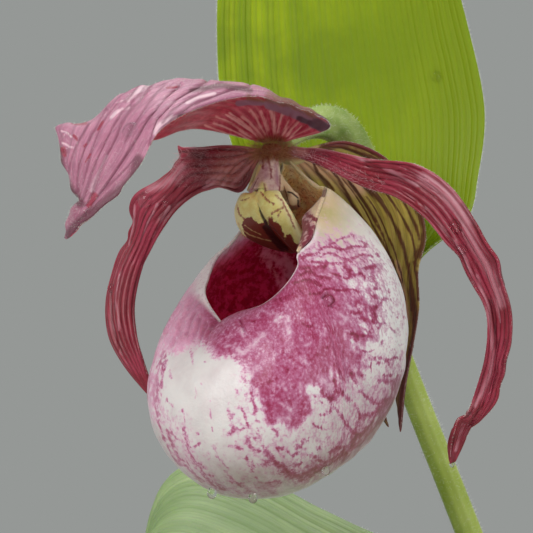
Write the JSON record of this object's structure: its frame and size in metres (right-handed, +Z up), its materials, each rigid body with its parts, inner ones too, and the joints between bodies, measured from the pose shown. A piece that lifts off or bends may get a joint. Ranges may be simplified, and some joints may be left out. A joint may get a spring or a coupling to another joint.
{
  "type": "potted ladys slipper orchid",
  "caption": "Hardy lady's slipper orchid in a plain clay pot: leaning stem, broad pleated leaves, tall bract and an inflated pink and white slipper flower under a hooded sepal.",
  "frame": {"origin": "centre of the pot's foot, on the surface that the pot stands on", "axes": "+Z up, -Y towards the viewer of the picture"},
  "size_m": [0.2181, 0.1832, 0.4311],
  "materials": {
    "clay": "matte",
    "soil": "matte",
    "green_stem": "satin",
    "green_leaf": "satin",
    "pink_hood": "satin",
    "red_petal": "satin",
    "olive_sepal": "satin",
    "pink_lip": "satin",
    "cream_column": "satin",
    "yellow_shield": "satin"
  },
  "bodies": {
    "root": {"pot": "clay", "soil": "soil", "stem": "green_stem", "sheath_low": "green_stem", "leaf_1": "green_leaf", "leaf_2": "green_leaf", "leaf_3": "green_leaf", "leaf_4": "green_leaf", "bract": "green_leaf", "ovary": "green_stem", "dorsal_sepal": "pink_hood", "petal_left": "red_petal", "petal_right": "red_petal", "synsepal": "olive_sepal", "lip": "pink_lip", "column": "cream_column", "staminode": "yellow_shield"}
  },
  "joints": []
}
